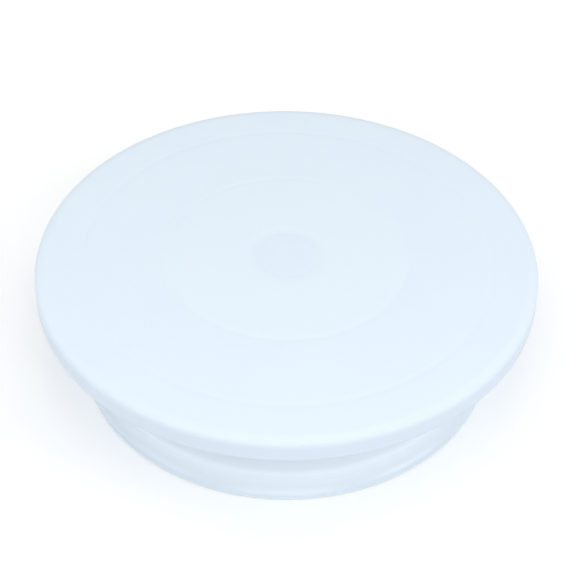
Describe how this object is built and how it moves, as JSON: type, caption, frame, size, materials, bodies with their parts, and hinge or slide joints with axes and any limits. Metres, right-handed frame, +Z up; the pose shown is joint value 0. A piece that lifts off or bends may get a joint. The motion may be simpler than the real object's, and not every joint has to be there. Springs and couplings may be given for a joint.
{
  "type": "revolving cake turntable",
  "caption": "Round white plastic turntable plate with two shallow guide rings and a centre recess, turning on a ball ring over a flared round base.",
  "frame": {"origin": "centre of the circle of foot pads, on the surface that the turntable stands on", "axes": "+Z up along the plate's turning axis; +X and +Y lie on that surface, with a foot pad on +X"},
  "size_m": [0.28, 0.28, 0.07],
  "materials": {
    "plate_plastic": "satin moulded polypropylene, cool white",
    "base_plastic": "satin moulded polypropylene, cool white",
    "retainer_nylon": "natural moulded nylon",
    "washer_nylon": "natural cut nylon",
    "ball_steel": "polished",
    "screw_steel": "zinc plated",
    "washer_steel": "zinc plated",
    "pad_rubber": "matt"
  },
  "bodies": {
    "base": {"base_shell": "base_plastic", "hub_cap": "base_plastic", "foot_pad_1": "pad_rubber", "foot_pad_2": "pad_rubber", "foot_pad_3": "pad_rubber", "foot_pad_4": "pad_rubber", "foot_pad_5": "pad_rubber", "foot_pad_6": "pad_rubber"},
    "plate": {"turntable_plate": "plate_plastic", "retaining_screw": "screw_steel", "steel_washer": "washer_steel", "slip_washer": "washer_nylon"},
    "retainer": {"ball_retainer": "retainer_nylon"},
    "ball_01": {"bearing_ball_01": "ball_steel"},
    "ball_02": {"bearing_ball_02": "ball_steel"},
    "ball_03": {"bearing_ball_03": "ball_steel"},
    "ball_04": {"bearing_ball_04": "ball_steel"},
    "ball_05": {"bearing_ball_05": "ball_steel"},
    "ball_06": {"bearing_ball_06": "ball_steel"},
    "ball_07": {"bearing_ball_07": "ball_steel"},
    "ball_08": {"bearing_ball_08": "ball_steel"},
    "ball_09": {"bearing_ball_09": "ball_steel"},
    "ball_10": {"bearing_ball_10": "ball_steel"},
    "ball_11": {"bearing_ball_11": "ball_steel"},
    "ball_12": {"bearing_ball_12": "ball_steel"},
    "ball_13": {"bearing_ball_13": "ball_steel"},
    "ball_14": {"bearing_ball_14": "ball_steel"},
    "ball_15": {"bearing_ball_15": "ball_steel"},
    "ball_16": {"bearing_ball_16": "ball_steel"}
  },
  "joints": [
    {"name": "plate_spin", "type": "hinge", "parent": "base", "child": "plate", "pos_m": [0, 0, 0.05], "axis": [0, 0, 1], "continuous": true},
    {"name": "retainer_orbit", "type": "hinge", "parent": "base", "child": "retainer", "pos_m": [0, 0, 0.06373], "axis": [0, 0, 1], "continuous": true},
    {"name": "ball_01_roll", "type": "hinge", "parent": "retainer", "child": "ball_01", "pos_m": [0.0693, 0, 0.06373], "axis": [1, 0, 0], "continuous": true},
    {"name": "ball_02_roll", "type": "hinge", "parent": "retainer", "child": "ball_02", "pos_m": [0.06402, 0.02652, 0.06373], "axis": [0.9239, 0.3827, 0], "continuous": true},
    {"name": "ball_03_roll", "type": "hinge", "parent": "retainer", "child": "ball_03", "pos_m": [0.049, 0.049, 0.06373], "axis": [0.7071, 0.7071, 0], "continuous": true},
    {"name": "ball_04_roll", "type": "hinge", "parent": "retainer", "child": "ball_04", "pos_m": [0.02652, 0.06402, 0.06373], "axis": [0.3827, 0.9239, 0], "continuous": true},
    {"name": "ball_05_roll", "type": "hinge", "parent": "retainer", "child": "ball_05", "pos_m": [0, 0.0693, 0.06373], "axis": [0, 1, 0], "continuous": true},
    {"name": "ball_06_roll", "type": "hinge", "parent": "retainer", "child": "ball_06", "pos_m": [-0.02652, 0.06402, 0.06373], "axis": [-0.3827, 0.9239, 0], "continuous": true},
    {"name": "ball_07_roll", "type": "hinge", "parent": "retainer", "child": "ball_07", "pos_m": [-0.049, 0.049, 0.06373], "axis": [-0.7071, 0.7071, 0], "continuous": true},
    {"name": "ball_08_roll", "type": "hinge", "parent": "retainer", "child": "ball_08", "pos_m": [-0.06402, 0.02652, 0.06373], "axis": [-0.9239, 0.3827, 0], "continuous": true},
    {"name": "ball_09_roll", "type": "hinge", "parent": "retainer", "child": "ball_09", "pos_m": [-0.0693, 0, 0.06373], "axis": [-1, 0, 0], "continuous": true},
    {"name": "ball_10_roll", "type": "hinge", "parent": "retainer", "child": "ball_10", "pos_m": [-0.06402, -0.02652, 0.06373], "axis": [-0.9239, -0.3827, 0], "continuous": true},
    {"name": "ball_11_roll", "type": "hinge", "parent": "retainer", "child": "ball_11", "pos_m": [-0.049, -0.049, 0.06373], "axis": [-0.7071, -0.7071, 0], "continuous": true},
    {"name": "ball_12_roll", "type": "hinge", "parent": "retainer", "child": "ball_12", "pos_m": [-0.02652, -0.06402, 0.06373], "axis": [-0.3827, -0.9239, 0], "continuous": true},
    {"name": "ball_13_roll", "type": "hinge", "parent": "retainer", "child": "ball_13", "pos_m": [0, -0.0693, 0.06373], "axis": [0, -1, 0], "continuous": true},
    {"name": "ball_14_roll", "type": "hinge", "parent": "retainer", "child": "ball_14", "pos_m": [0.02652, -0.06402, 0.06373], "axis": [0.3827, -0.9239, 0], "continuous": true},
    {"name": "ball_15_roll", "type": "hinge", "parent": "retainer", "child": "ball_15", "pos_m": [0.049, -0.049, 0.06373], "axis": [0.7071, -0.7071, 0], "continuous": true},
    {"name": "ball_16_roll", "type": "hinge", "parent": "retainer", "child": "ball_16", "pos_m": [0.06402, -0.02652, 0.06373], "axis": [0.9239, -0.3827, 0], "continuous": true}
  ],
  "couplings": [
    {"joint": "retainer_orbit", "follows": "plate_spin", "ratio": 0.5},
    {"joint": "ball_01_roll", "follows": "plate_spin", "ratio": -10.913},
    {"joint": "ball_02_roll", "follows": "plate_spin", "ratio": -10.913},
    {"joint": "ball_03_roll", "follows": "plate_spin", "ratio": -10.913},
    {"joint": "ball_04_roll", "follows": "plate_spin", "ratio": -10.913},
    {"joint": "ball_05_roll", "follows": "plate_spin", "ratio": -10.913},
    {"joint": "ball_06_roll", "follows": "plate_spin", "ratio": -10.913},
    {"joint": "ball_07_roll", "follows": "plate_spin", "ratio": -10.913},
    {"joint": "ball_08_roll", "follows": "plate_spin", "ratio": -10.913},
    {"joint": "ball_09_roll", "follows": "plate_spin", "ratio": -10.913},
    {"joint": "ball_10_roll", "follows": "plate_spin", "ratio": -10.913},
    {"joint": "ball_11_roll", "follows": "plate_spin", "ratio": -10.913},
    {"joint": "ball_12_roll", "follows": "plate_spin", "ratio": -10.913},
    {"joint": "ball_13_roll", "follows": "plate_spin", "ratio": -10.913},
    {"joint": "ball_14_roll", "follows": "plate_spin", "ratio": -10.913},
    {"joint": "ball_15_roll", "follows": "plate_spin", "ratio": -10.913},
    {"joint": "ball_16_roll", "follows": "plate_spin", "ratio": -10.913}
  ]
}
